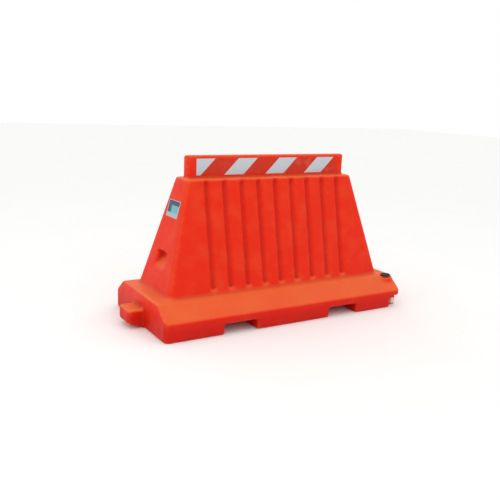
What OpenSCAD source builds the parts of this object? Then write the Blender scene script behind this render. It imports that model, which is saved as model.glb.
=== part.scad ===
// Interlocking plastic traffic barrier: a hollow moulded shell with a striped rail on top, a water
// filler and a drain at one corner, and a tongue and socket that lock a row of barriers together.
// Millimetres, +Z up. X runs along the barrier, and the origin is on the ground at its middle.

/* [Base] */
// Length between the two end walls
base_len = 1510; // [1200:10:2000]
// Width across the foot
base_w = 670; // [560:10:760]
// Height of the upright kerb round the base
kerb_h = 95; // [85:1:110]
// Height of the flat shoulder that the trunk stands on
shoulder_h = 172; // [160:1:190]
// Radius of the base's four upright corners
corner_r = 26; // [15:1:40]
// Wall thickness of the moulded shell
wall = 5; // [4:0.5:6]

/* [Trunk] */
// Length of the trunk at its foot
trunk_foot_len = 1358; // [1100:2:1400]
// Width of the trunk at its foot
trunk_foot_w = 406; // [360:2:440]
// Length of the trunk at its top
trunk_top_len = 1052; // [1020:2:1080]
// Width of the trunk at its top
trunk_top_w = 158; // [140:2:180]
// Height of the trunk's top above the ground
trunk_h = 753; // [700:1:900]

/* [Flutes] */
// Number of upright flutes on each long side
flute_count = 9; // [5:1:9]
// Distance between flutes
flute_pitch = 105; // [80:1:106]
// Width of a flute at its mouth
flute_w = 40; // [30:1:50]
// Depth of a flute
flute_d = 17; // [10:1:20]

/* [Rail] */
// Length of the top rail
rail_len = 1009; // [980:1:1015]
// Thickness of the top rail
rail_t = 42; // [36:1:60]
// Height of the rail's top above the ground
rail_h = 869; // [860:1:960]
// Length of the reflective tape
tape_len = 900; // [800:10:940]
// Height of the reflective tape
tape_w = 86; // [70:1:90]
// Distance from one white stripe to the next
stripe_pitch = 258; // [200:1:260]
// Length of a white stripe, measured along the rail
stripe_w = 118; // [90:1:130]

/* [Interlock and handling] */
// Width of the tongue
tongue_w = 140; // [110:2:180]
// Reach of the tongue beyond the end wall
tongue_reach = 84; // [60:1:90]
// Height of the tongue's top
tongue_h = 98; // [80:1:105]
// Clearance round the tongue in the neighbour's socket
socket_gap = 8; // [5:1:12]
// Width of each fork channel
channel_w = 194; // [150:1:200]
// Height of each fork channel
channel_h = 54; // [50:1:60]
// Distance of each fork channel's middle from the barrier's middle
channel_x = 329; // [300:1:340]

/* [Filler and drain] */
// Thread radius of the filler
filler_r = 20; // [18:0.5:21]
// Thread radius of the drain
drain_r = 11; // [9:0.5:11]

/* [Hidden] */
$fn = 64;

orange = "#F0450F";
half_len = base_len / 2;
half_w = base_w / 2;
shoulder_half_w = half_w - 100;
rail_root = 40;
tongue_root = 100;
tongue_flat = 6;
tongue_tip_rise = 30;
tongue_corner_r = 20;

// Hand pocket in each end wall of the trunk
pocket_w = 110;
pocket_top = 376;
pocket_mid = 340;
pocket_low = 292;
pocket_depth = 38;

// Corner pocket that shelters the drain, below the shoulder at one end
well_len = 76;
well_depth = 38;
well_h = 66;

// Reflective tape: a white sheet with red film bars on it, let into the rail's face
tape_z = 810;
tape_t = 0.6;
film_t = 0.3;
tape_let_in = 1.2;
tape_face_y = rail_t / 2 - tape_let_in;
tape_margin = 2;
stripe_start = 8;
stripe_count = 4;

// Sticker on the end wall above the hand pocket
label_z = 596;
label_w = 132;
label_h = 90;
label_t = 0.6;

// Filler in a round sunk seat at the shoulder's corner, carried by a boss where the shoulder slopes away
filler_x = half_len - 46;
filler_y = -(half_w - 89);
seat_h = shoulder_h - 8;
seat_r = 35;
boss_r = 38;
boss_low = 100;
neck_wall = 4;
neck_depth = 24;
flange_t = 3;
cap_clear = 0.3;
seal_t = 2;
cap_r = 28;
cap_t = 8;
cap_rib_count = 24;
cap_rib_w = 3;
cap_bar_w = 8;
cap_well_r = cap_r - 7;
cap_well_depth = 5.5;
seal_z = seat_h + flange_t;
cap_z = seal_z + seal_t + 0.2;

// Drain in the back wall of its pocket, facing -Y
drain_x = half_len - 29;
drain_z = 27;
drain_wall_y = -(half_w - well_depth);
drain_flange_r = drain_r + 7.5;
drain_head_r = drain_r + 4.5;
drain_head_t = 10;
drain_flange_t = 2;
drain_seal_t = 1.8;
drain_bush_len = 14;
drain_shank_len = 12;
drain_bar_w = 7;
drain_hollow_wall = 3.5;

// Slopes of the trunk's sides, as run over rise
trunk_rise = trunk_h - shoulder_h;
side_run = (trunk_foot_w - trunk_top_w) / 2 / trunk_rise;
end_run = (trunk_foot_len - trunk_top_len) / 2 / trunk_rise;
function side_y(z) = trunk_foot_w / 2 - side_run * (z - shoulder_h);
function end_x(z) = trunk_foot_len / 2 - end_run * (z - shoulder_h);

flute_low = shoulder_h + 22;
flute_high = trunk_h - 10;
flute_floor = 0.2;
flute_overlap = 4;

// Right and left halves of an outline
function both_sides(half) =
    concat(half, [for (i = [len(half) - 1 : -1 : 0]) [-half[i][0], half[i][1]]]);

// Outline of the base's end: upright kerb, then a slope up to the flat shoulder, drawn in by t all round
function base_outline(t) =
    let (s = (shoulder_h - kerb_h) / (half_w - shoulder_half_w), g = sqrt(1 + s * s))
    both_sides([
        [half_w - t, t],
        [half_w - t, kerb_h + s * t - t * g],
        [half_w - (shoulder_h - t - kerb_h + t * g) / s, shoulder_h - t]
    ]);

// Outline of the trunk, drawn in by t, from inside the base to the trunk's top
function trunk_outline(foot, run, t) =
    let (low = kerb_h, g = t * sqrt(1 + run * run))
    both_sides([
        [foot / 2 + run * (shoulder_h - low) - g, low],
        [foot / 2 - run * (trunk_h - t - shoulder_h) - g, trunk_h - t]
    ]);

// An outline in X and Z, run along Y
module along_y(length) {
    rotate([90, 0, 0]) linear_extrude(height = length, center = true) children();
}

// An outline in Y and Z, run along X
module along_x(length) {
    rotate([90, 0, 90]) linear_extrude(height = length, center = true) children();
}

module round_rect(length, width, r) {
    square([length - 2 * r, width], center = true);
    square([length, width - 2 * r], center = true);
    for (sx = [-1, 1], sy = [-1, 1])
        translate([sx * (length / 2 - r), sy * (width / 2 - r)]) circle(r);
}

module base_form(t) {
    intersection() {
        along_x(base_len) polygon(base_outline(t));
        linear_extrude(height = shoulder_h)
            round_rect(base_len - 2 * t, base_w - 2 * t, corner_r - t);
    }
}

module trunk_form(t) {
    intersection() {
        along_x(base_len) polygon(trunk_outline(trunk_foot_w, side_run, t));
        along_y(base_w) polygon(trunk_outline(trunk_foot_len, end_run, t));
    }
}

module rail_form(t) {
    low = trunk_h - rail_root;
    translate([-rail_len / 2 + t, -rail_t / 2 + t, low])
        cube([rail_len - 2 * t, rail_t - 2 * t, rail_h - t - low]);
}

// The tongue has round corners in plan, so that a row can bend, and its underside rises towards its tip
module tongue_form(t) {
    tip = half_len + tongue_reach - t;
    span = tongue_root + tongue_reach;
    intersection() {
        along_y(tongue_w)
            polygon([[-half_len + tongue_root, t], [-half_len - tongue_flat, t], [-tip, tongue_tip_rise + t],
                     [-tip, tongue_h - t], [-half_len + tongue_root, tongue_h - t]]);
        translate([-half_len - tongue_reach + span / 2, 0, 0])
            linear_extrude(height = tongue_h)
            round_rect(span - 2 * t, tongue_w - 2 * t, tongue_corner_r - t);
    }
}

module filler_boss(t) {
    translate([filler_x, filler_y, boss_low]) cylinder(r = boss_r - t, h = seat_h - t - boss_low);
}

module filler_seat(t) {
    translate([filler_x, filler_y, seat_h - t]) cylinder(r = seat_r + t, h = shoulder_h - seat_h + t + 1);
}

// One flute: a bar with sloping flanks laid in the trunk's long side, grown by t
module flute(x, t) {
    lean = atan(side_run);
    run = (flute_high - flute_low) / cos(lean);
    mouth = flute_w / 2 + t;
    floor_x = flute_w * flute_floor + t;
    translate([x, -side_y(flute_low), flute_low])
        rotate([-lean, 0, 0])
        translate([0, 0, -t])
        linear_extrude(height = run + 2 * t)
        polygon([[-mouth - flute_overlap, -flute_overlap], [mouth + flute_overlap, -flute_overlap],
                 [mouth, 0], [floor_x, flute_d + t], [-floor_x, flute_d + t], [-mouth, 0]]);
}

module flutes(t) {
    for (side = [0, 180], k = [0 : flute_count - 1])
        rotate([0, 0, side]) flute((k - (flute_count - 1) / 2) * flute_pitch, t);
}

module fork_channels(t) {
    for (s = [-1, 1])
        translate([s * channel_x - channel_w / 2 - t, -half_w - 1, -1])
            cube([channel_w + 2 * t, base_w + 2, channel_h + t + 1]);
}

// Socket in the other end, which the neighbour's tongue goes into
module socket(t) {
    depth = tongue_reach + socket_gap + t;
    width = tongue_w + 2 * socket_gap + 2 * t;
    translate([half_len - depth, -width / 2, -1]) cube([depth + 1, width, tongue_h + socket_gap + t + 1]);
}

module drain_well(t) {
    translate([half_len - well_len - t, -half_w - 1, -1])
        cube([well_len + t + 1, well_depth + t + 1, well_h + t + 1]);
}

// Hand pocket: a flat ceiling to grip under, and a floor that slopes back out to the wall
module hand_pocket(t) {
    deep = end_x(pocket_mid) - pocket_depth - t;
    along_y(pocket_w + 2 * t)
        polygon([[end_x(pocket_low - t) + 8, pocket_low - t], [end_x(pocket_top + t) + 8, pocket_top + t],
                 [deep, pocket_top + t], [deep, pocket_mid], [end_x(pocket_low - t), pocket_low - t]]);
}

module hand_pockets(t) {
    for (side = [0, 180]) rotate([0, 0, side]) hand_pocket(t);
}

module recesses(t) {
    flutes(t);
    filler_seat(t);
    fork_channels(t);
    socket(t);
    drain_well(t);
    hand_pockets(t);
}

module forms(t) {
    base_form(t);
    trunk_form(t);
    rail_form(t);
    tongue_form(t);
    filler_boss(t);
}

// Cylinder that starts at y and runs towards -Y, on the drain's axis
module drain_cylinder(r, y, length) {
    translate([drain_x, y, drain_z]) rotate([90, 0, 0]) cylinder(r = r, h = length);
}

module shell() {
    color(orange) difference() {
        forms(0);
        recesses(0);
        difference() {
            forms(wall);
            recesses(wall);
        }
        for (s = [-1, 1])
            translate([0, s * rail_t / 2, tape_z])
                cube([tape_len + 2 * tape_margin, 2 * tape_let_in, tape_w + 2 * tape_margin], center = true);
        translate([filler_x, filler_y, seat_h - 2 * wall])
            cylinder(r = filler_r + cap_clear + neck_wall, h = 3 * wall);
        drain_cylinder(drain_r + cap_clear + neck_wall, drain_wall_y + 2 * wall, 3 * wall);
    }
}

// Tape and film lie in the rail's front face, and a half turn gives the rear ones
module tape() {
    translate([-tape_len / 2, -tape_face_y - tape_t, tape_z - tape_w / 2])
        cube([tape_len, tape_t, tape_w]);
}

module red_bars() {
    lean = tape_w / 2;
    intersection() {
        translate([-tape_len / 2, -tape_face_y - tape_t - film_t, tape_z - tape_w / 2])
            cube([tape_len, film_t, tape_w]);
        for (k = [0 : stripe_count - 1])
            translate([stripe_start - tape_len / 2 + k * stripe_pitch, -tape_face_y - tape_t, tape_z])
                along_y(2)
                polygon([[stripe_w / 2 - lean, -tape_w / 2], [stripe_pitch - stripe_w / 2 - lean, -tape_w / 2],
                         [stripe_pitch - stripe_w / 2 + lean, tape_w / 2], [stripe_w / 2 + lean, tape_w / 2]]);
    }
}

module tape_front() { color("white") tape(); }
module tape_rear() { color("white") rotate([0, 0, 180]) tape(); }
module red_bars_front() { color("#C02A12") red_bars(); }
module red_bars_rear() { color("#C02A12") rotate([0, 0, 180]) red_bars(); }

module label() {
    lean = atan(end_run);
    color("#CFE3E4")
        translate([-end_x(label_z), 0, label_z]) rotate([0, lean, 0])
        translate([-label_t, -label_w / 2, -label_h / 2]) cube([label_t, label_w, label_h]);
}

module filler_neck() {
    r = filler_r + cap_clear;
    color("#C8380C") translate([filler_x, filler_y, seat_h]) difference() {
        union() {
            translate([0, 0, -neck_depth]) cylinder(r = r + neck_wall, h = neck_depth + flange_t);
            cylinder(r = cap_r + 4, h = flange_t);
        }
        translate([0, 0, -neck_depth - 1]) cylinder(r = r, h = neck_depth + flange_t + 2);
    }
}

module filler_seal() {
    color("#303030") translate([filler_x, filler_y, seal_z + 0.1]) difference() {
        cylinder(r = cap_r - 1.5, h = seal_t);
        translate([0, 0, -1]) cylinder(r = filler_r + 0.4, h = seal_t + 2);
    }
}

// Screw cap: a ribbed rim round a sunk well, with a finger bar across it
module filler_cap() {
    shank = neck_depth - 3;
    color("#151515") translate([filler_x, filler_y, cap_z]) {
        difference() {
            union() {
                cylinder(r = cap_r - 1, h = cap_t);
                for (k = [0 : cap_rib_count - 1])
                    rotate([0, 0, k * 360 / cap_rib_count])
                        translate([cap_r - cap_rib_w, -cap_rib_w / 2, 0])
                        cube([cap_rib_w, cap_rib_w, cap_t - 1.5]);
                translate([0, 0, -shank]) cylinder(r = filler_r, h = shank + 1);
            }
            difference() {
                translate([0, 0, cap_t - cap_well_depth]) cylinder(r = cap_well_r, h = cap_well_depth + 1);
                translate([-cap_r, -cap_bar_w / 2, 0]) cube([2 * cap_r, cap_bar_w, cap_t - 0.5]);
            }
        }
    }
}

module drain_bush() {
    r = drain_r + cap_clear;
    color("#D8C9A8") difference() {
        union() {
            drain_cylinder(r + neck_wall, drain_wall_y + drain_bush_len, drain_bush_len);
            drain_cylinder(drain_flange_r, drain_wall_y, drain_flange_t);
        }
        drain_cylinder(r, drain_wall_y + 20, 30);
    }
}

module drain_seal() {
    color("#303030") difference() {
        drain_cylinder(drain_head_r - 0.8, drain_wall_y - drain_flange_t - 0.1, drain_seal_t);
        drain_cylinder(drain_r + 0.4, drain_wall_y, 6);
    }
}

// Drain plug: a threaded shank and a round head with a grip bar
module drain_plug() {
    head_y = drain_wall_y - drain_flange_t - drain_seal_t - 0.3;
    color("#E9CFC4") difference() {
        union() {
            drain_cylinder(drain_r, drain_wall_y + drain_shank_len, drain_shank_len + 5);
            drain_cylinder(drain_head_r, head_y, drain_head_t - 4);
            translate([drain_x - drain_head_r + 2, head_y - drain_head_t, drain_z - drain_bar_w / 2])
                cube([2 * drain_head_r - 4, drain_head_t, drain_bar_w]);
        }
        drain_cylinder(drain_r - drain_hollow_wall, drain_wall_y + drain_shank_len + 1, 11);
    }
}

shell();
tape_front();
tape_rear();
red_bars_front();
red_bars_rear();
label();
filler_neck();
filler_seal();
filler_cap();
drain_bush();
drain_seal();
drain_plug();
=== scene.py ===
"""Looks of an interlocking plastic traffic barrier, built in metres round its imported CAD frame.

X runs along the barrier, -X is the end with the tongue, +Z is up and z = 0 is the ground.
"""

import math

import bmesh
import bpy
import numpy as np
from bpy.props import FloatProperty, FloatVectorProperty, IntProperty, PointerProperty
from mathutils import Matrix, Vector


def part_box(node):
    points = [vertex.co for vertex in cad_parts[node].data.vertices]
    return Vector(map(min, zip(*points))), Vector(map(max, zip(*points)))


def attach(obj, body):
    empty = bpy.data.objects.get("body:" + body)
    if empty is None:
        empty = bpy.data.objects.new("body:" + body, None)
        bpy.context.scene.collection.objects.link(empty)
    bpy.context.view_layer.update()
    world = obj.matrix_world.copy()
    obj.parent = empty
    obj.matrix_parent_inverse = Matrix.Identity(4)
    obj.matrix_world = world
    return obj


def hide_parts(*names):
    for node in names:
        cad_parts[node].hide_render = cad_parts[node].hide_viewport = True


bl_info = {
    "name": "Traffic Barrier",
    "version": (1, 0, 0),
    "blender": (4, 5, 0),
    "location": "3D View > Sidebar > Barrier",
    "description": "Builds a moulded traffic barrier's skin, tape, sticker and screw fittings",
    "category": "Add Mesh",
}

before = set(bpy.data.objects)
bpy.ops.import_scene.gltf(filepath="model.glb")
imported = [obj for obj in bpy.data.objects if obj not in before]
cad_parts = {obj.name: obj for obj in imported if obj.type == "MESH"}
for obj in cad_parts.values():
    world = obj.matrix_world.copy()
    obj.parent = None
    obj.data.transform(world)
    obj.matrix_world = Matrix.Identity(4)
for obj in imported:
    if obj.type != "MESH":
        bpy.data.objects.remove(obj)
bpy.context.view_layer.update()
BODY = "barrier"
MM = 0.001


def linear(hex_colour):
    """An sRGB hex colour as linear red, green and blue."""
    parts = [int(hex_colour[i : i + 2], 16) / 255 for i in (1, 3, 5)]
    return tuple(c / 12.92 if c <= 0.04045 else ((c + 0.055) / 1.055) ** 2.4 for c in parts)


def length(name, description, mm):
    """A length property with its default in millimetres."""
    return FloatProperty(
        name=name, description=description, default=mm * MM, min=0.0, unit="LENGTH", precision=4
    )


def colour(name, description, hex_colour):
    """A colour property with its default as an sRGB hex value."""
    return FloatVectorProperty(
        name=name, description=description, default=linear(hex_colour), min=0.0, max=1.0, subtype="COLOR"
    )


class BarrierFormSettings(bpy.types.PropertyGroup):
    """Sizes of the hollow moulding's outer form. Its overall size comes from the frame."""

    kerb_height: length("Kerb height", "Height of the upright kerb along the long sides", 95)
    shoulder_height: length("Shoulder height", "Height of the flat shoulder round the trunk", 172)
    side_shoulder: length("Side shoulder", "Run of the sloping shoulder along the long sides", 100)
    corner_radius: length("Corner radius", "Radius of the base's upright corners", 26)
    trunk_foot_length: length("Trunk foot length", "Length of the trunk where it meets the shoulder", 1358)
    trunk_foot_width: length("Trunk foot width", "Width of the trunk where it meets the shoulder", 406)
    trunk_top_length: length("Trunk top length", "Length of the trunk's flat top", 1052)
    trunk_top_width: length("Trunk top width", "Width of the trunk's flat top", 158)
    trunk_height: length("Trunk height", "Height of the trunk's top above the ground", 753)
    rail_length: length("Rail length", "Length of the top rail", 1009)
    rail_thickness: length("Rail thickness", "Thickness of the top rail", 42)
    tongue_width: length("Tongue width", "Width of the linking tongue", 140)
    tongue_height: length("Tongue height", "Height of the tongue's top above the ground", 98)
    tongue_tip_rise: length("Tongue tip rise", "Clearance under the tongue's tip", 30)
    tongue_corner: length("Tongue corner radius", "Radius of the tongue's corners, seen from above", 20)
    socket_gap: length("Socket gap", "Clearance round a neighbour's tongue in the socket", 8)
    edge_round: length("Edge rounding", "Width over which the moulding's outer edges are rounded", 8)
    trunk_round: length("Trunk corner rounding", "Width over which the trunk's four corners are rounded", 28)
    fillet: length("Inner fillet", "Width over which the moulding's inner corners are filled", 16)
    panel_sink: length("Panel sink", "How far the flat walls wander as the moulding cools", 0.9)
    grid: length("Grid", "Spacing of the grid that the skin is drawn from", 7.4)


class BarrierRecessSettings(bpy.types.PropertyGroup):
    """Sizes of the recesses in the moulding."""

    flute_count: IntProperty(
        name="Flutes", description="Number of flutes on each long side", default=9, min=1, max=9
    )
    flute_pitch: length("Flute pitch", "Distance from one flute to the next", 105)
    flute_mouth: length("Flute mouth", "Width of a flute at the wall", 40)
    flute_floor: length("Flute floor", "Width of a flute's floor", 16)
    flute_depth: length("Flute depth", "Depth of a flute", 17)
    flute_low_gap: length("Flute foot gap", "Plain wall between the shoulder and the flutes", 22)
    flute_high_gap: length("Flute head gap", "Plain wall between the flutes and the trunk's top", 10)
    channel_place: length("Fork channel place", "Distance from the middle to a fork channel's middle", 329)
    channel_width: length("Fork channel width", "Width of a fork channel", 194)
    channel_height: length("Fork channel height", "Height of a fork channel", 54)
    pocket_width: length("Hand pocket width", "Width of the hand pocket in each end wall", 110)
    pocket_ceiling: length("Hand pocket ceiling", "Height of the hand pocket's ceiling", 376)
    pocket_back_low: length("Hand pocket back", "Height of the lower edge of the pocket's back wall", 340)
    pocket_sill: length("Hand pocket sill", "Height where the pocket's sloping floor meets the wall", 292)
    pocket_depth: length("Hand pocket depth", "Depth of the hand pocket", 38)
    well_length: length("Drain pocket length", "Length of the pocket that shelters the drain", 76)
    well_depth: length("Drain pocket depth", "Depth of the pocket that shelters the drain", 38)
    well_height: length("Drain pocket height", "Height of the pocket that shelters the drain", 66)
    boss_radius: length("Boss radius", "Radius of the round boss under the filler", 38)
    boss_low: length("Boss foot", "Height where the round boss starts", 100)
    seat_radius: length("Seat radius", "Radius of the sunk seat round the filler", 35)
    seat_height: length("Seat height", "Height of the sunk seat's floor above the ground", 164)
    filler_hole: length("Filler hole", "Radius of the hole for the filler's neck", 24.6)
    drain_hole: length("Drain hole", "Radius of the hole for the drain's bush", 15.5)


class BarrierFittingSettings(bpy.types.PropertyGroup):
    """Fine sizes of the screw fittings. Their places and outer sizes come from the frame."""

    filler_pitch: length("Filler thread pitch", "Rise of the filler cap in one turn", 6)
    drain_pitch: length("Drain thread pitch", "Travel of the drain plug in one turn", 3)
    thread_depth: length("Thread depth", "Depth of the moulded threads", 1.1)
    thread_gap: length("Thread clearance", "Gap between a thread's shank and its bore", 0.3)
    tube_wall: length("Tube wall", "Wall thickness of the filler's neck and the drain's bush", 4)
    cap_overhang: length("Cap overhang", "How far the filler cap reaches past its thread", 8)
    plug_overhang: length("Plug overhang", "How far the drain plug's head reaches past its thread", 4.5)
    seal_gap: length("Seal gap", "Gap between a seal and the head that presses it", 0.2)
    cap_ribs: IntProperty(
        name="Cap ribs", description="Number of grip ribs round the filler cap", default=24, min=8, max=60
    )
    rib_height: length("Rib height", "How far a grip rib stands out", 1)
    cap_well: length("Cap well", "Depth of the well in the filler cap's top", 5.5)
    flange_thickness: length("Flange thickness", "Thickness of the filler neck's flange", 3)
    bush_flange_thickness: length("Bush flange thickness", "Thickness of the drain bush's flange", 2)
    bar_width: length("Finger bar width", "Width of the bar that turns the filler cap", 8)
    plug_bar_width: length("Plug bar width", "Width of the bar that turns the drain plug", 7)


class BarrierColourSettings(bpy.types.PropertyGroup):
    """Colours of the materials."""

    shell: colour("Shell", "Orange-red pigment of the moulding", "#E22604")
    # Faded shell: painted light on faces that look up, with some sun fade, and random pale clouds
    shell_lit_and_faded: colour("Faded shell", "The same pigment where sun and rain reach it most", "#E98245")
    # Deep shell: painted shade on the kerb and in the inner corners
    shell_painted_shade: colour("Deep shell", "The same pigment where it stays damp and shaded", "#C81206")
    # Scuffed shell: rub wear and a painted highlight on proud edges
    shell_scuff_and_highlight: colour("Scuffed shell", "Pale rubbed marks on proud edges", "#F0915E")
    # Grime colour: road dirt on the foot and the fittings, and painted shade in the inner corners
    grime_and_shade: colour("Grime", "Road dirt in corners and along the foot", "#5E2A16")
    sheeting: colour("Sheeting", "White reflective sheeting", "#AEB9C3")
    sheeting_seal: colour("Sheeting seal", "Seal lines between the sheeting's cells", "#D4DCDE")
    film: colour("Film", "Red film over the sheeting", "#C42804")
    label_ground: colour("Sticker ground", "Pale ground of the sticker", "#9FB0B5")
    label_band: colour("Sticker band", "Dark band across the sticker's top", "#22384E")
    label_block: colour("Sticker block", "Light block at the sticker's middle", "#5FA9B5")
    label_side: colour("Sticker side block", "Dark block at the sticker's side", "#264650")
    insert: colour("Filler neck", "Orange insert at the filler", "#C23A10")
    cap: colour("Filler cap", "Black cap", "#141414")
    rubber: colour("Rubber", "Seal rings", "#1E1E1D")
    bush: colour("Drain bush", "Unpigmented insert at the drain", "#D6C9AE")
    plug: colour("Drain plug", "Pale plug", "#EBCFC4")
    floor: colour("Floor", "Pale studio floor", "#FAFAF8")


class BarrierStageSettings(bpy.types.PropertyGroup):
    """Place of the camera and strength of the lights."""

    camera_place: FloatVectorProperty(
        name="Camera place", description="Where the camera stands",
        default=(-1.9702, -3.0551, 1.1730), unit="LENGTH",
    )
    camera_heading: FloatProperty(
        name="Camera heading", description="Turn of the view from straight along +Y",
        default=math.radians(-31.55), unit="ROTATION",
    )
    camera_pitch: FloatProperty(
        name="Camera pitch", description="How far the view looks down",
        default=math.radians(13.12), unit="ROTATION",
    )
    camera_roll: FloatProperty(
        name="Camera roll", description="Tilt of the camera about its own axis",
        default=math.radians(2.4), unit="ROTATION",
    )
    camera_lens: FloatProperty(
        name="Lens", description="Focal length in millimetres", default=47.31, min=10.0
    )
    overhead_power: FloatProperty(
        name="Overhead light", description="Strength of the soft box overhead",
        default=10.0, min=0.0, unit="POWER",
    )
    end_power: FloatProperty(
        name="End light", description="Strength of the soft box beyond the tongue",
        default=8.0, min=0.0, unit="POWER",
    )
    front_power: FloatProperty(
        name="Front light", description="Strength of the soft box in front",
        default=3.0, min=0.0, unit="POWER",
    )
    sky_strength: FloatProperty(
        name="Sky", description="Strength of the plain white sky", default=1.0, min=0.0
    )


# Shader nodes


def add_node(tree, kind, settings=None, inputs=None):
    """Adds a node, sets its settings, and sets each input to a value or links it to a socket."""
    node = tree.nodes.new(kind)
    for key, value in (settings or {}).items():
        setattr(node, key, value)
    for key, value in (inputs or {}).items():
        if isinstance(value, bpy.types.NodeSocket):
            tree.links.new(value, node.inputs[key])
        else:
            node.inputs[key].default_value = value
    return node


def per_mm(size):
    """Scale of a pattern whose features measure size millimetres."""
    return 1 / (size * MM)


def new_material(name):
    """A material with its Principled shader, and its node tree."""
    material = bpy.data.materials.new(name)
    material.use_nodes = True
    tree = material.node_tree
    return material, tree, tree.nodes["Principled BSDF"]


def opaque(rgb):
    return (*rgb, 1.0)


def blend_colours(tree, factor, first, second):
    """Colour socket that runs from first to second as factor goes from 0 to 1."""
    node = add_node(tree, "ShaderNodeMix", {"data_type": "RGBA"}, {0: factor, 6: first, 7: second})
    return node.outputs[2]


def place_in_frame(tree):
    """Socket of the point's place in the barrier's own frame, in metres."""
    return add_node(tree, "ShaderNodeTexCoord").outputs["Object"]


def grain(tree, place, size, detail=2.0):
    """Noise socket, 0 to 1, whose features measure size millimetres."""
    inputs = {"Vector": place, "Scale": per_mm(size), "Detail": detail}
    return add_node(tree, "ShaderNodeTexNoise", None, inputs).outputs["Fac"]


def remap(tree, value, low, high, to_low=0.0, to_high=1.0):
    """Socket that runs from to_low to to_high as value runs from low to high, and stops there."""
    inputs = {"Value": value, "From Min": low, "From Max": high, "To Min": to_low, "To Max": to_high}
    return add_node(tree, "ShaderNodeMapRange", None, inputs).outputs["Result"]


def combine(tree, operation, first, second):
    """Socket of a sum, product or comparison."""
    return add_node(tree, "ShaderNodeMath", {"operation": operation}, {0: first, 1: second}).outputs[0]


def relief(tree, height, depth, strength=1.0):
    """Bump socket from a height that runs from 0 to 1, depth millimetres deep."""
    inputs = {"Height": height, "Distance": depth * MM, "Strength": strength}
    return add_node(tree, "ShaderNodeBump", None, inputs).outputs["Normal"]


def rotomoulded_polyethylene(colours):
    """Linear polyethylene, rotationally moulded: waxy satin, faint orange peel, chalky pale tops that are
    partly sun fade and partly painted light, and painted shade on the kerb and in inner corners.
    """
    material, tree, shader = new_material("rotomoulded_polyethylene")
    place = place_in_frame(tree)
    up = add_node(tree, "ShaderNodeSeparateXYZ", None,
                  {0: add_node(tree, "ShaderNodeNewGeometry").outputs["Normal"]}).outputs["Z"]
    height = add_node(tree, "ShaderNodeSeparateXYZ", None, {0: place}).outputs["Z"]
    edge = add_node(tree, "ShaderNodeAttribute", {"attribute_name": "proud_edge"}).outputs["Fac"]
    corner = add_node(tree, "ShaderNodeAttribute", {"attribute_name": "inner_corner"}).outputs["Fac"]
    # Faces that look up are painted paler, in patches about 300 mm across: painted light standing in for the
    # sky on the tops, with some sun fade
    patches = grain(tree, place, 300, 4.0)
    fade = combine(tree, "MULTIPLY", remap(tree, up, 0.25, 0.95, 0.0, 0.6),
                   remap(tree, patches, 0.3, 0.7, 0.75, 1.0))
    base = blend_colours(tree, fade, opaque(colours.shell), opaque(colours.shell_lit_and_faded))
    cloudy = combine(tree, "MULTIPLY", remap(tree, grain(tree, place, 90, 5.0), 0.45, 0.75), 0.10)
    base = blend_colours(tree, cloudy, base, opaque(colours.shell_lit_and_faded))
    # Painted shade: upright walls near the ground (the kerb) and inner corners such as the flutes are painted
    # a deeper red where shade falls
    dim = combine(tree, "MULTIPLY", remap(tree, height, 0.05, 0.15, 0.9, 0.0),
                   remap(tree, up, 0.1, 0.5, 1.0, 0.0))
    deep = combine(tree, "MAXIMUM", dim, combine(tree, "MULTIPLY", corner, 0.85))
    base = blend_colours(tree, deep, base, opaque(colours.shell_painted_shade))
    # Road dirt creeps up the foot in soft patches about 60 mm across; the inner corners take a little of the
    # same brown as painted shade
    splash = combine(tree, "MULTIPLY", remap(tree, height, 0.0, 0.06, 0.30, 0.0),
                     remap(tree, grain(tree, place, 60, 3.0), 0.35, 0.75))
    dirt_and_corner_shade = combine(tree, "MAXIMUM", splash, combine(tree, "MULTIPLY", corner, 0.22))
    base = blend_colours(tree, dirt_and_corner_shade, base, opaque(colours.grime_and_shade))
    # Proud edges are rubbed pale, in strokes about 15 mm long, and the same pale paint stands as a painted
    # highlight on the rounded edges
    rubbed = combine(tree, "MULTIPLY", combine(tree, "MULTIPLY", edge, 0.38),
                     remap(tree, grain(tree, place, 15, 6.0), 0.40, 0.62))
    base = blend_colours(tree, rubbed, base, opaque(colours.shell_scuff_and_highlight))
    tree.links.new(base, shader.inputs["Base Color"])
    rough = remap(tree, grain(tree, place, 40, 5.0), 0.3, 0.7, 0.40, 0.54)
    tree.links.new(rough, shader.inputs["Roughness"])
    waves = combine(tree, "MULTIPLY", grain(tree, place, 35, 3.0), 2.0)
    peel = combine(tree, "ADD", grain(tree, place, 4, 2.0), waves)
    tree.links.new(relief(tree, peel, 0.35, 0.6), shader.inputs["Normal"])
    shader.inputs["IOR"].default_value = 1.51
    shader.inputs["Specular IOR Level"].default_value = 0.15
    return material


def sheet_place(tree):
    """Place on an upright sheet, across and up, turned 45 degrees so that square cells stand on a point."""
    parts = add_node(tree, "ShaderNodeSeparateXYZ", None, {0: place_in_frame(tree)})
    flat = add_node(tree, "ShaderNodeCombineXYZ", None, {"X": parts.outputs["X"], "Y": parts.outputs["Z"]})
    turned_place = add_node(tree, "ShaderNodeMapping", None,
                            {"Vector": flat.outputs[0], "Rotation": (0.0, 0.0, math.radians(45))})
    return turned_place.outputs[0]


def prismatic_cells(tree):
    """Distance to the seal lines of the sheeting's cells, which are drawn 6 mm wide so that they show."""
    node = add_node(tree, "ShaderNodeTexVoronoi", {"voronoi_dimensions": "2D", "feature": "DISTANCE_TO_EDGE"},
                    {"Vector": sheet_place(tree), "Scale": per_mm(6), "Randomness": 0.0})
    return node.outputs["Distance"]


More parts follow.
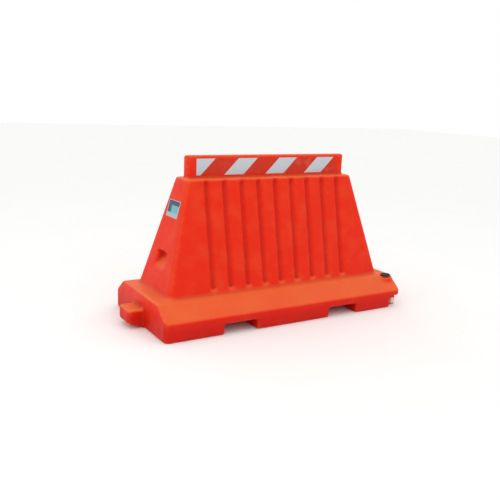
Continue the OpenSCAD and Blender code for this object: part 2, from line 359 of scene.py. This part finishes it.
def prismatic_sheeting(colours):
    """Acrylic reflective sheeting with sealed prism cells: a silvery white under a clear glossy face."""
    material, tree, shader = new_material("prismatic_acrylic_sheeting")
    cells = prismatic_cells(tree)
    place = place_in_frame(tree)
    base = blend_colours(tree, remap(tree, cells, 0.05, 0.12, 1.0, 0.0),
                         opaque(colours.sheeting), opaque(colours.sheeting_seal))
    dust = combine(tree, "MULTIPLY", remap(tree, grain(tree, place, 60, 5.0), 0.5, 0.75), 0.25)
    base = blend_colours(tree, dust, base, opaque(colours.bush))
    tree.links.new(base, shader.inputs["Base Color"])
    tree.links.new(remap(tree, cells, 0.0, 0.5, 0.30, 0.48), shader.inputs["Roughness"])
    tree.links.new(relief(tree, remap(tree, cells, 0.0, 0.2), 0.15, 0.5), shader.inputs["Normal"])
    shader.inputs["Metallic"].default_value = 0.15
    shader.inputs["Coat Weight"].default_value = 0.35
    shader.inputs["Coat Roughness"].default_value = 0.12
    return material


def red_overlay_film(colours):
    """Clear red acrylic film over the sheeting: deep red-brown with the cells just showing through."""
    material, tree, shader = new_material("red_acrylic_film")
    cells = prismatic_cells(tree)
    place = place_in_frame(tree)
    lines = combine(tree, "MULTIPLY", remap(tree, cells, 0.05, 0.12, 1.0, 0.0), 0.22)
    base = blend_colours(tree, lines, opaque(colours.film), opaque(colours.shell))
    dust = combine(tree, "MULTIPLY", remap(tree, grain(tree, place, 60, 5.0), 0.5, 0.75), 0.10)
    base = blend_colours(tree, dust, base, opaque(colours.bush))
    tree.links.new(base, shader.inputs["Base Color"])
    tree.links.new(remap(tree, grain(tree, place, 30, 3.0), 0.3, 0.7, 0.30, 0.42), shader.inputs["Roughness"])
    shader.inputs["Specular IOR Level"].default_value = 0.2
    shader.inputs["Coat Weight"].default_value = 0.1
    shader.inputs["Coat Roughness"].default_value = 0.1
    return material


def printed_vinyl(colours, low, high):
    """Printed PVC sticker: flat generic blocks of colour under a satin laminate, a little rubbed."""
    material, tree, shader = new_material("printed_vinyl")
    place = place_in_frame(tree)
    parts = add_node(tree, "ShaderNodeSeparateXYZ", None, {0: place})
    across = remap(tree, parts.outputs["Y"], high.y, low.y)
    rise = remap(tree, parts.outputs["Z"], low.z, high.z)

    def block(left, right, bottom, top):
        """1 inside a rectangle given in shares of the sticker, 0 outside."""
        wide = combine(tree, "MULTIPLY", combine(tree, "GREATER_THAN", across, left),
                       combine(tree, "LESS_THAN", across, right))
        tall = combine(tree, "MULTIPLY", combine(tree, "GREATER_THAN", rise, bottom),
                       combine(tree, "LESS_THAN", rise, top))
        return combine(tree, "MULTIPLY", wide, tall)

    base = blend_colours(tree, block(0.04, 0.96, 0.70, 0.96),
                         opaque(colours.label_ground), opaque(colours.label_band))
    base = blend_colours(tree, block(0.34, 0.92, 0.26, 0.70), base, opaque(colours.label_block))
    base = blend_colours(tree, block(0.04, 0.34, 0.26, 0.70), base, opaque(colours.label_side))
    faded = combine(tree, "MULTIPLY", remap(tree, grain(tree, place, 70, 2.0), 0.3, 0.7), 0.12)
    base = blend_colours(tree, faded, base, opaque(colours.label_ground))
    tree.links.new(base, shader.inputs["Base Color"])
    tree.links.new(remap(tree, grain(tree, place, 12, 4.0), 0.3, 0.7, 0.30, 0.46), shader.inputs["Roughness"])
    tree.links.new(relief(tree, grain(tree, place, 18, 2.0), 0.2, 0.4), shader.inputs["Normal"])
    shader.inputs["Specular IOR Level"].default_value = 0.3
    return material


def moulded_plastic(name, rgb, dirt, roughness, texture_size):
    """Injection-moulded plastic: an even satin skin with a fine spark-eroded texture and handled dirt."""
    material, tree, shader = new_material(name)
    place = place_in_frame(tree)
    spots = combine(tree, "MULTIPLY", remap(tree, grain(tree, place, 6, 6.0), 0.48, 0.7), 0.28)
    tree.links.new(blend_colours(tree, spots, opaque(rgb), opaque(dirt)), shader.inputs["Base Color"])
    rough = remap(tree, grain(tree, place, 5, 4.0), 0.3, 0.7, roughness - 0.06, roughness + 0.08)
    tree.links.new(rough, shader.inputs["Roughness"])
    tree.links.new(relief(tree, grain(tree, place, texture_size, 2.0), 0.05, 0.5), shader.inputs["Normal"])
    shader.inputs["IOR"].default_value = 1.5
    return material


def studio_floor(colours):
    """Painted studio floor: matte and pale, with a barely visible mottle."""
    material, tree, shader = new_material("matte_painted_floor")
    mottle = remap(tree, grain(tree, place_in_frame(tree), 400, 3.0), 0.3, 0.7, 0.0, 0.05)
    base = blend_colours(tree, mottle, opaque(colours.floor), (0.7, 0.7, 0.7, 1.0))
    tree.links.new(base, shader.inputs["Base Color"])
    shader.inputs["Roughness"].default_value = 0.9
    return material


# Forms as distances: below zero inside a form, above zero outside it


def soft_max(first, second, width):
    """The larger distance, with the edge where the two meet rounded over width."""
    near = np.maximum(width - np.abs(first - second), 0)
    return np.maximum(first, second) + near * near / (4 * width)


def common(width, *distances):
    """Form that lies inside all the given ones, with its edges rounded over width."""
    result = distances[0]
    for distance in distances[1:]:
        result = soft_max(result, distance, width)
    return result


def joined(first, second, width):
    """Form of two together, with the inner corner between them filled over width."""
    return -soft_max(-first, -second, width)


def cut(form, void, width):
    """Form with a void taken out, and the void's mouth rounded over width."""
    return soft_max(form, -void, width)


def beyond(across, up, start, end):
    """Distance to the right of the line from start to end."""
    run, rise = end[0] - start[0], end[1] - start[1]
    return ((across - start[0]) * rise - (up - start[1]) * run) / math.hypot(run, rise)


def rounded_corner(along, across, radius):
    """Distance outside a corner of the given radius, from how far a point is past each of its walls."""
    along, across = along + radius, across + radius
    outside = np.hypot(np.maximum(along, 0), np.maximum(across, 0))
    return outside + np.minimum(np.maximum(along, across), 0) - radius


def base_form(form, x, y, z, half_length, half_width):
    """Low wide base: upright kerb, sloping shoulder and rounded upright corners."""
    walls = rounded_corner(abs(x) - half_length, abs(y) - half_width, form.corner_radius)
    top = form.shoulder_height
    side = beyond(abs(y), z, (half_width, form.kerb_height), (half_width - form.side_shoulder, top))
    return common(form.edge_round, walls, side, z - top)


def trunk_side(form, y, z):
    """Distance outside the trunk's long walls."""
    foot = form.trunk_foot_width / 2, form.shoulder_height
    top = form.trunk_top_width / 2, form.trunk_height
    return beyond(abs(y), z, foot, top)


def trunk_form(form, x, y, z):
    """Tapered trunk, with walls that wander a little."""
    foot = form.trunk_foot_length / 2, form.shoulder_height
    top = form.trunk_top_length / 2, form.trunk_height
    end = beyond(abs(x), z, foot, top)
    wander = np.sin(x * 14 + 1) * np.sin(z * 11 + 2) + np.sin(x * 6 + y * 9 + 4) * np.sin(z * 5)
    walls = soft_max(trunk_side(form, y, z), end, form.trunk_round) + form.panel_sink * (2 + wander) / 4
    return common(form.edge_round, walls, z - form.trunk_height)


def rail_form(form, x, y, z, rail_top):
    """Thin upright rail along the trunk's top."""
    width = form.edge_round * 0.7
    return common(width, abs(x) - form.rail_length / 2, abs(y) - form.rail_thickness / 2, z - rail_top,
                  form.trunk_height - form.rail_thickness - z)


def tongue_form(form, x, y, z, tip, end_wall):
    """Linking tongue at the -X end, round in plan and with a rising underside."""
    walls = rounded_corner(tip - x, abs(y) - form.tongue_width / 2, form.tongue_corner)
    under = beyond(x, z, (tip, form.tongue_tip_rise), (end_wall, 0.0))
    return common(form.edge_round * 0.8, walls, z - form.tongue_height, under, x - end_wall / 2)


def flute_void(form, recess, x, y, z):
    """All the flutes in both long walls."""
    span = recess.flute_count * recess.flute_pitch
    start = x + span / 2
    across = abs(start - (np.floor(start / recess.flute_pitch) + 0.5) * recess.flute_pitch)
    depth = -trunk_side(form, y, z)
    flank = beyond(across, depth, (recess.flute_mouth / 2, 0.0), (recess.flute_floor / 2, recess.flute_depth))
    void = common(form.edge_round, flank, depth - recess.flute_depth)
    void = common(form.fillet, void, form.shoulder_height + recess.flute_low_gap - z,
                  z - form.trunk_height + recess.flute_high_gap)
    return np.maximum(void, abs(x) - span / 2)


def pocket_void(form, recess, x, y, z):
    """Hand pockets in both end walls: a flat ceiling, an upright back and a floor that slopes out."""
    slope = (form.trunk_foot_length - form.trunk_top_length) / 2 / (form.trunk_height - form.shoulder_height)

    def wall_x(height):
        return form.trunk_foot_length / 2 - slope * (height - form.shoulder_height)

    back = wall_x(recess.pocket_back_low) - recess.pocket_depth
    sill = wall_x(recess.pocket_sill), recess.pocket_sill
    floor = beyond(abs(x), z, (back, recess.pocket_back_low), sill)
    return common(8 * MM, abs(y) - recess.pocket_width / 2, z - recess.pocket_ceiling, back - abs(x), floor)


def barrier_distance(form, recess, x, y, z):
    """Distance outside the whole moulding, at each point of a grid."""
    low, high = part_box("shell")
    end_wall, rail_top = high.x, high.z
    base = base_form(form, x, y, z, end_wall, high.y)
    solid = joined(base, trunk_form(form, x, y, z), form.fillet)
    solid = joined(solid, rail_form(form, x, y, z, rail_top), form.fillet * 0.6)
    solid = joined(solid, tongue_form(form, x, y, z, low.x, -end_wall), form.fillet * 0.8)
    # Round boss and sunk seat under the filler
    filler, filler_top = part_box("filler_neck")
    filler_reach = np.hypot(x - (filler.x + filler_top.x) / 2, y - (filler.y + filler_top.y) / 2)
    boss = common(4 * MM, filler_reach - recess.boss_radius, z - recess.seat_height, recess.boss_low - z)
    solid = np.maximum(joined(solid, boss, 14 * MM), x - end_wall)
    solid = cut(solid, np.maximum(filler_reach - recess.seat_radius, recess.seat_height - z), 3 * MM)
    # Recesses
    solid = cut(solid, flute_void(form, recess, x, y, z), form.edge_round)
    channel = common(8 * MM, abs(abs(x) - recess.channel_place) - recess.channel_width / 2,
                     z - recess.channel_height)
    solid = cut(solid, channel, 9 * MM)
    depth = -low.x - end_wall + form.socket_gap
    socket = common(8 * MM, end_wall - depth - x, abs(y) - form.tongue_width / 2 - form.socket_gap,
                    z - form.tongue_height - form.socket_gap)
    solid = cut(solid, socket, 9 * MM)
    well = common(8 * MM, end_wall - recess.well_length - x, y + high.y - recess.well_depth,
                  z - recess.well_height)
    solid = cut(solid, well, 7 * MM)
    solid = cut(solid, pocket_void(form, recess, x, y, z), 9 * MM)
    # Shallow recess behind each tape, with room for a soft rim
    tape_low, tape_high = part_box("tape_front")
    rim = 5 * MM
    tape = np.maximum(abs(x) - tape_high.x - rim, -tape_high.y - abs(y))
    tape = np.maximum(tape, abs(z - (tape_low.z + tape_high.z) / 2) - (tape_high.z - tape_low.z) / 2 - rim)
    solid = cut(solid, tape, 1 * MM)
    # Seats of the two screwed inserts
    solid = cut(solid, np.maximum(filler_reach - recess.filler_hole, filler.z - 25 * MM - z), 1 * MM)
    drain, drain_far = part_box("drain_bush")
    drain_reach = np.hypot(x - (drain.x + drain_far.x) / 2, z - (drain.z + drain_far.z) / 2)
    solid = cut(solid, np.maximum(drain_reach - recess.drain_hole, y - drain_far.y - 12 * MM), 1 * MM)
    return soft_max(solid, -z, 8 * MM)


def surface_net(field, low, step):
    """Points and quads of the skin where a grid of distances crosses zero, one point to a cell."""
    cells = np.array(field.shape) - 1
    count, total = np.zeros(cells.prod()), np.zeros((cells.prod(), 3))
    quads = []
    for axis in range(3):
        first = np.moveaxis(np.moveaxis(field, axis, 0)[:-1], 0, axis)
        second = np.moveaxis(np.moveaxis(field, axis, 0)[1:], 0, axis)
        spot = np.argwhere((first < 0) != (second < 0))
        a, b = first[tuple(spot.T)], second[tuple(spot.T)]
        point = spot.astype(float)
        point[:, axis] += a / (a - b)
        across, up = (axis + 1) % 3, (axis + 2) % 3
        ring = []
        for da, du in ((0, 0), (-1, 0), (-1, -1), (0, -1)):
            cell = spot.copy()
            cell[:, across] += da
            cell[:, up] += du
            index = np.ravel_multi_index(cell.T, cells)
            count += np.bincount(index, minlength=len(count))
            for k in range(3):
                total[:, k] += np.bincount(index, weights=point[:, k], minlength=len(count))
            ring.append(index)
        quad = np.stack(ring, 1)
        outward = a < 0
        quads.append(np.where(outward[:, None], quad, quad[:, ::-1]))
    used = count > 0
    order = np.cumsum(used) - 1
    points = low + step * total[used] / count[used][:, None]
    return points, order[np.concatenate(quads)]


def mark_edges(mesh):
    """Stores how proud or how sunk the skin is at each point, for the rub wear and painted highlight on proud
    edges, and for the painted shade in sunk corners.
    """
    size = len(mesh.vertices)
    point, normal = np.empty(size * 3), np.empty(size * 3)
    mesh.vertices.foreach_get("co", point)
    mesh.vertices.foreach_get("normal", normal)
    point, normal = point.reshape(-1, 3), normal.reshape(-1, 3)
    pair = np.empty(len(mesh.edges) * 2, int)
    mesh.edges.foreach_get("vertices", pair)
    pair = pair.reshape(-1, 2)
    near = np.bincount(pair.ravel(), minlength=size)

    def around(value):
        one = np.bincount(pair[:, 0], weights=value[pair[:, 1]], minlength=size)
        two = np.bincount(pair[:, 1], weights=value[pair[:, 0]], minlength=size)
        return (one + two) / np.maximum(near, 1)

    middle = np.stack([around(point[:, k]) for k in range(3)], 1)
    span = pair[:, 0], pair[:, 1]
    reach = np.linalg.norm(point[span[0]] - point[span[1]], axis=1).mean()
    bend = ((point - middle) * normal).sum(1) / reach
    for _ in range(6):
        bend = (bend + around(bend)) / 2
    for name, value in (("proud_edge", bend * 7 - 0.25), ("inner_corner", -bend * 12 - 0.2)):
        layer = mesh.attributes.new(name, "FLOAT", "POINT")
        layer.data.foreach_set("value", np.clip(value, 0, 1).astype(np.float32))


def new_object(name, mesh):
    """An object in the scene that shows a mesh."""
    piece = bpy.data.objects.new(name, mesh)
    bpy.context.scene.collection.objects.link(piece)
    return piece


def finish_piece(piece, body, material, slot, *nodes):
    """Gives a new piece its material and its body, and hides the CAD nodes that it stands for. The finish
    slot is not used.
    """
    piece.data.materials.append(material)
    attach(piece, body)
    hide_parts(*nodes)


def apply_modifier(piece, kind, **settings):
    """Adds a modifier and applies it."""
    modifier = piece.modifiers.new(kind.title(), kind)
    for key, value in settings.items():
        setattr(modifier, key, value)
    bpy.context.view_layer.objects.active = piece
    bpy.ops.object.modifier_apply(modifier=modifier.name)


def cad_finish(node, material):
    """Gives a CAD node a finer material and keeps its shape."""
    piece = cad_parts[node]
    piece.data.materials.clear()
    piece.data.materials.append(material)


# Turned fittings, about Z with the outside of the barrier at +Z


def ridge(turns):
    """Round-topped ridge, 0 to 1, once in each whole turn."""
    return max(0.0, math.cos(2 * math.pi * turns)) ** 0.8


def turned(mesh, rings, segments, closed):
    """Adds a turned skin: each ring is (radius function of the angle, height).

    Closed rings meet at the ends, and others are closed with a flat face at each end.
    """
    angles = [2 * math.pi * k / segments for k in range(segments)]
    loops = []
    for radius, height in rings:
        points = [(radius(t) * math.cos(t), radius(t) * math.sin(t), height) for t in angles]
        loops.append([mesh.verts.new(point) for point in points])
    pairs = list(zip(loops, loops[1:] + loops[:1])) if closed else list(zip(loops, loops[1:]))
    for lower, upper in pairs:
        for k in range(segments):
            mesh.faces.new((lower[k], lower[(k + 1) % segments], upper[(k + 1) % segments], upper[k]))
    if not closed:
        mesh.faces.new(loops[0][::-1])
        mesh.faces.new(loops[-1])


def plain(radius):
    """Ring of one radius all round."""
    return lambda angle: radius


def ribbed(radius, height, count):
    """Ring with count rounded ribs."""
    return lambda angle: radius + height * ridge(angle * count / (2 * math.pi))


def threaded(radius, height, place, pitch):
    """Ring across a right-hand thread: radius at its root, and height to its crest."""
    return lambda angle: radius + height * ridge(angle / (2 * math.pi) - place / pitch)


def thread_rings(radius, height, low, high, pitch):
    """Rings up a thread, eight to a turn, that starts and ends in the plain root."""
    steps = max(4, round((high - low) / pitch * 8))
    rings = []
    for k in range(steps + 1):
        place = low + (high - low) * k / steps
        fade = min(1.0, k / 3, (steps - k) / 3)
        rings.append((threaded(radius, height * fade, place, pitch), place))
    return rings


def rounded_bar(mesh, size_x, size_y, low, high, radius):
    """Adds a bar with rounded edges, its middle on the axis, between two heights."""
    made = bmesh.ops.create_cube(mesh, size=1.0)["verts"]
    bmesh.ops.scale(mesh, vec=(size_x, size_y, high - low), verts=made)
    bmesh.ops.translate(mesh, vec=(0, 0, (low + high) / 2), verts=made)
    edges = list({edge for vert in made for edge in vert.link_edges})
    bmesh.ops.bevel(mesh, geom=edges, offset=radius, segments=3, profile=0.5, affect="EDGES")


def fitting(name, build, matrix):
    """A fitting's object from a function that fills its mesh, set in place by a matrix."""
    shape = bmesh.new()
    build(shape)
    bmesh.ops.recalc_face_normals(shape, faces=shape.faces)
    shape.transform(matrix)
    mesh = bpy.data.meshes.new(name)
    shape.to_mesh(mesh)
    shape.free()
    mesh.shade_smooth()
    mesh.set_sharp_from_angle(angle=math.radians(40))
    return new_object(name, mesh)


def middle(node):
    """Middle of a CAD node's box."""
    low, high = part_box(node)
    return (low + high) / 2


def seal_ring(mesh, inner, outer, low, high):
    """Adds a flat ring with rounded corners."""
    soft = (high - low) * 0.25
    outline = ((inner + soft, low), (outer - soft, low), (outer, low + soft), (outer, high - soft),
               (outer - soft, high), (inner + soft, high), (inner, high - soft), (inner, low + soft))
    turned(mesh, [(plain(radius), height) for radius, height in outline], 96, True)


class BARRIER_OT_shell(bpy.types.Operator):
    """Builds the moulded skin of the base, trunk, rail and tongue"""

    bl_idname = "barrier.shell"
    bl_label = "Moulded Shell"

    def execute(self, context):
        form, recess = context.scene.barrier_form, context.scene.barrier_recess
        low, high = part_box("shell")
        step = form.grid * 1
        # The grid starts off the round numbers, so that no flat face falls on its planes
        start = np.array(low) - step * 1.63
        counts = np.ceil((np.array(high) - start) / step).astype(int) + 2
        axes = [start[k] + step * np.arange(counts[k]) for k in range(3)]
        x, y, z = (axes[0][:, None, None], axes[1][None, :, None], axes[2][None, None, :])
        field = np.broadcast_to(barrier_distance(form, recess, x, y, z), tuple(counts))
        points, quads = surface_net(field, start, step)
        mesh = bpy.data.meshes.new("moulded_shell")
        mesh.from_pydata(points.tolist(), [], quads.tolist())
        piece = new_object("moulded_shell", mesh)
        apply_modifier(piece, "SMOOTH", factor=0.5, iterations=2)
        mesh.shade_smooth()
        mark_edges(piece.data)
        material = rotomoulded_polyethylene(context.scene.barrier_colours)
        finish_piece(piece, BODY, material, "orange_polyethylene", "shell")
        return {"FINISHED"}


class BARRIER_OT_tape(bpy.types.Operator):
    """Finishes the reflective sheeting and its red bars on both faces of the rail"""

    bl_idname = "barrier.tape"
    bl_label = "Reflective Tape"

    def execute(self, context):
        sheeting = prismatic_sheeting(context.scene.barrier_colours)
        film = red_overlay_film(context.scene.barrier_colours)
        for side in ("front", "rear"):
            cad_finish(f"tape_{side}", sheeting)
            cad_finish(f"red_bars_{side}", film)
        return {"FINISHED"}


class BARRIER_OT_label(bpy.types.Operator):
    """Finishes the sticker on the end wall"""

    bl_idname = "barrier.label"
    bl_label = "Sticker"

    def execute(self, context):
        cad_finish("label", printed_vinyl(context.scene.barrier_colours, *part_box("label")))
        return {"FINISHED"}


class BARRIER_OT_filler(bpy.types.Operator):
    """Builds the filler's neck, seal and screw cap"""

    bl_idname = "barrier.filler"
    bl_label = "Filler"

    def execute(self, context):
        sizes, colours = context.scene.barrier_fittings, context.scene.barrier_colours
        neck_low, neck_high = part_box("filler_neck")
        seal_low, seal_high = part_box("filler_seal")
        cap_low, cap_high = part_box("filler_cap")
        axis = middle("filler_cap")
        place = Matrix.Translation((axis.x, axis.y, 0))
        flange = (neck_high.x - neck_low.x) / 2
        seat = neck_high.z - sizes.flange_thickness
        cap_radius = (cap_high.x - cap_low.x) / 2
        shank = cap_radius - sizes.cap_overhang
        bore = shank + sizes.thread_gap
        tube = bore + sizes.tube_wall
        base, top = seal_high.z + sizes.seal_gap, cap_high.z

        def neck(mesh):
            rings = thread_rings(bore + 0.1 * MM, sizes.thread_depth, neck_low.z + 1 * MM, seat,
                                 sizes.filler_pitch)
            outline = ((bore, neck_low.z), (tube, neck_low.z), (tube, seat), (flange - 0.8 * MM, seat),
                       (flange, seat + 0.8 * MM), (flange, neck_high.z - 1 * MM),
                       (flange - 1 * MM, neck_high.z), (bore + 1 * MM, neck_high.z),
                       (bore, neck_high.z - 1 * MM))
            turned(mesh, [(plain(radius), height) for radius, height in outline] + rings[::-1], 96, True)

        def seal(mesh):
            seal_ring(mesh, shank + 0.4 * MM, (seal_high.x - seal_low.x) / 2, seal_low.z, seal_high.z)

        def cap(mesh):
            root = shank - sizes.thread_depth
            rim = cap_radius - sizes.rib_height
            well, floor = cap_radius - 7 * MM, top - sizes.cap_well
            rings = [(plain(root - 1 * MM), cap_low.z)]
            rings += thread_rings(root, sizes.thread_depth, cap_low.z + 1 * MM, base - 1 * MM,
                                  sizes.filler_pitch)
            rings += [(plain(root), base), (plain(rim - 0.8 * MM), base)]
            for share, rib in ((0.08, 0.0), (0.16, 0.8), (0.3, 1.0), (0.6, 1.0), (0.78, 0.9), (0.87, 0.0)):
                side = ribbed(rim, sizes.rib_height * rib, sizes.cap_ribs)
                rings.append((side, base + share * (top - base)))
            outline = ((rim - 0.5 * MM, top - 0.5 * MM), (rim - 1.3 * MM, top), (well + 1.2 * MM, top),
                       (well + 0.4 * MM, top - 0.4 * MM), (well, top - 1.2 * MM),
                       (well - 0.3 * MM, floor + 1 * MM), (well - 1.2 * MM, floor), (1 * MM, floor))
            turned(mesh, rings + [(plain(radius), height) for radius, height in outline], 192, False)
            rounded_bar(mesh, 2 * well + 1 * MM, sizes.bar_width, floor - 0.5 * MM, top - 0.5 * MM, 1.2 * MM)

        dirt = colours.grime_and_shade
        finish_piece(fitting("filler_neck_insert", neck, place), BODY,
                     moulded_plastic("moulded_polyethylene_orange", colours.insert, dirt, 0.45, 1.5),
                     "orange_insert", "filler_neck")
        finish_piece(fitting("filler_seal_ring", seal, place), "filler_seal",
                     moulded_plastic("moulded_rubber", colours.rubber, dirt, 0.7, 1.0),
                     "seal_rubber", "filler_seal")
        finish_piece(fitting("filler_screw_cap", cap, place), "filler_cap",
                     moulded_plastic("moulded_polypropylene_black", colours.cap, dirt, 0.42, 1.2),
                     "black_polypropylene", "filler_cap")
        return {"FINISHED"}


class BARRIER_OT_drain(bpy.types.Operator):
    """Builds the drain's bush, seal and screw plug"""

    bl_idname = "barrier.drain"
    bl_label = "Drain"

    def execute(self, context):
        sizes, colours = context.scene.barrier_fittings, context.scene.barrier_colours
        bush_low, bush_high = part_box("drain_bush")
        seal_low, seal_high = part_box("drain_seal")
        plug_low, plug_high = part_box("drain_plug")
        axis = middle("drain_bush")
        # Turned about Z with the outside at +Z, then laid over so that the outside faces -Y
        place = Matrix.Translation((axis.x, 0, axis.z)) @ Matrix.Rotation(math.radians(90), 4, "X")
        flange = (bush_high.x - bush_low.x) / 2
        head = (plug_high.x - plug_low.x) / 2
        shank = head - sizes.plug_overhang
        bore = shank + sizes.thread_gap
        tube = bore + sizes.tube_wall
        seat, face = -bush_low.y - sizes.bush_flange_thickness, -bush_low.y
        under = -seal_low.y + sizes.seal_gap
        crown = -plug_low.y

        def bush(mesh):
            inner = -bush_high.y
            rings = thread_rings(bore + 0.1 * MM, sizes.thread_depth * 0.6, inner + 1 * MM, seat,
                                 sizes.drain_pitch)
            outline = ((bore, inner), (tube, inner), (tube, seat), (flange - 0.5 * MM, seat),
                       (flange, seat + 0.5 * MM), (flange, face - 0.6 * MM), (flange - 0.6 * MM, face),
                       (bore + 0.7 * MM, face), (bore, face - 0.7 * MM))
            turned(mesh, [(plain(radius), height) for radius, height in outline] + rings[::-1], 72, True)

        def seal(mesh):
            seal_ring(mesh, shank + 0.4 * MM, (seal_high.x - seal_low.x) / 2, -seal_high.y, -seal_low.y)

        def plug(mesh):
            depth = sizes.thread_depth * 0.6
            root = shank - depth
            rings = [(plain(root - 0.6 * MM), -plug_high.y)]
            rings += thread_rings(root, depth, -plug_high.y + 0.8 * MM, under - 0.8 * MM, sizes.drain_pitch)
            rim_top = crown - 4 * MM
            outline = ((root, under), (head - 0.6 * MM, under), (head, under + 0.6 * MM),
                       (head, rim_top - 1.2 * MM), (head - 0.4 * MM, rim_top - 0.4 * MM),
                       (head - 1.2 * MM, rim_top), (1 * MM, rim_top))
            turned(mesh, rings + [(plain(radius), height) for radius, height in outline], 96, False)
            rounded_bar(mesh, 2 * head - 4 * MM, sizes.plug_bar_width, rim_top - 1 * MM, crown, 1.4 * MM)

        dirt = colours.grime_and_shade
        finish_piece(fitting("drain_bush_insert", bush, place), BODY,
                     moulded_plastic("moulded_polyethylene_natural", colours.bush, dirt, 0.45, 1.2),
                     "natural_insert", "drain_bush")
        finish_piece(fitting("drain_seal_ring", seal, place), "drain_seal",
                     moulded_plastic("moulded_rubber_ring", colours.rubber, dirt, 0.7, 1.0),
                     "seal_rubber", "drain_seal")
        finish_piece(fitting("drain_screw_plug", plug, place), "drain_plug",
                     moulded_plastic("moulded_polyethylene_pale", colours.plug, dirt, 0.4, 1.2),
                     "pale_polyethylene", "drain_plug")
        return {"FINISHED"}


class BARRIER_OT_stage(bpy.types.Operator):
    """Sets up the floor, the soft lights and the camera"""

    bl_idname = "barrier.stage"
    bl_label = "Studio Stage"

    def execute(self, context):
        scene, stage = context.scene, context.scene.barrier_stage
        # Shows each colour as its material gives it, with no film look
        scene.view_settings.view_transform = "Standard"
        self.floor(scene.barrier_colours)
        self.sky(scene, stage.sky_strength)
        soft_boxes = (
            ("overhead", (-0.3, -0.6, 3.2), (0, 0, 0.3), (4.0, 3.0), stage.overhead_power),
            ("beyond_tongue", (-3.2, -0.6, 1.9), (0, 0, 0.4), (2.4, 1.8), stage.end_power),
            ("in_front", (0.8, -3.4, 2.1), (0, 0, 0.35), (3.0, 1.8), stage.front_power),
        )
        for name, place, target, size, power in soft_boxes:
            self.soft_box(scene, name, Vector(place), Vector(target), size, power)
        self.camera(scene, stage)
        return {"FINISHED"}

    def floor(self, colours):
        """A plain pale floor that reaches well past the view."""
        reach = 20.0
        mesh = bpy.data.meshes.new("studio_floor")
        corners = [(-reach, -reach, 0), (reach, -reach, 0), (reach, reach, 0), (-reach, reach, 0)]
        mesh.from_pydata(corners, [], [(0, 1, 2, 3)])
        piece = new_object("studio_floor", mesh)
        mesh.materials.append(studio_floor(colours))

    def sky(self, scene, strength):
        """An even white sky."""
        world = bpy.data.worlds.new("white_sky")
        world.use_nodes = True
        background = world.node_tree.nodes["Background"]
        background.inputs["Color"].default_value = (1.0, 1.0, 1.0, 1.0)
        background.inputs["Strength"].default_value = strength
        scene.world = world

    def soft_box(self, scene, name, place, target, size, power):
        """A large rectangular light that faces a target."""
        light = bpy.data.lights.new(name, "AREA")
        light.shape = "RECTANGLE"
        light.size, light.size_y = size
        light.energy = power
        lamp = bpy.data.objects.new(name, light)
        lamp.location = place
        lamp.rotation_euler = (target - place).to_track_quat("-Z", "Y").to_euler()
        scene.collection.objects.link(lamp)

    def camera(self, scene, stage):
        """A camera that stands at eye height off the tongue's front corner."""
        heading, pitch, roll = stage.camera_heading, stage.camera_pitch, stage.camera_roll
        turn = Matrix.Rotation(heading, 4, "Z") @ Matrix.Rotation(math.radians(90) - pitch, 4, "X")
        lens = bpy.data.cameras.new("camera")
        lens.lens = stage.camera_lens
        lens.sensor_width = 36.0
        camera = bpy.data.objects.new("camera", lens)
        camera.matrix_world = Matrix.Translation(stage.camera_place) @ turn @ Matrix.Rotation(roll, 4, "Z")
        scene.collection.objects.link(camera)
        scene.camera = camera


class BARRIER_PT_panel(bpy.types.Panel):
    """Lists the barrier's builders in the 3D view's sidebar"""

    bl_idname = "BARRIER_PT_panel"
    bl_label = "Traffic Barrier"
    bl_space_type = "VIEW_3D"
    bl_region_type = "UI"
    bl_category = "Barrier"

    def draw(self, context):
        for operator in OPERATORS:
            self.layout.operator(operator.bl_idname)


SETTINGS = {
    "barrier_form": BarrierFormSettings,
    "barrier_recess": BarrierRecessSettings,
    "barrier_fittings": BarrierFittingSettings,
    "barrier_colours": BarrierColourSettings,
    "barrier_stage": BarrierStageSettings,
}
OPERATORS = (
    BARRIER_OT_shell,
    BARRIER_OT_tape,
    BARRIER_OT_label,
    BARRIER_OT_filler,
    BARRIER_OT_drain,
    BARRIER_OT_stage,
)


def register():
    """Registers the settings, the operators and the panel."""
    for name, group in SETTINGS.items():
        bpy.utils.register_class(group)
        setattr(bpy.types.Scene, name, PointerProperty(type=group))
    for operator in OPERATORS:
        bpy.utils.register_class(operator)
    bpy.utils.register_class(BARRIER_PT_panel)


def unregister():
    """Takes away what register added."""
    bpy.utils.unregister_class(BARRIER_PT_panel)
    for operator in reversed(OPERATORS):
        bpy.utils.unregister_class(operator)
    for name, group in reversed(SETTINGS.items()):
        delattr(bpy.types.Scene, name)
        bpy.utils.unregister_class(group)


def main():
    register()
    bpy.ops.barrier.shell()
    bpy.ops.barrier.tape()
    bpy.ops.barrier.label()
    bpy.ops.barrier.filler()
    bpy.ops.barrier.drain()
    bpy.ops.barrier.stage()
    bpy.context.view_layer.update()


if __name__ == "__main__":
    main()
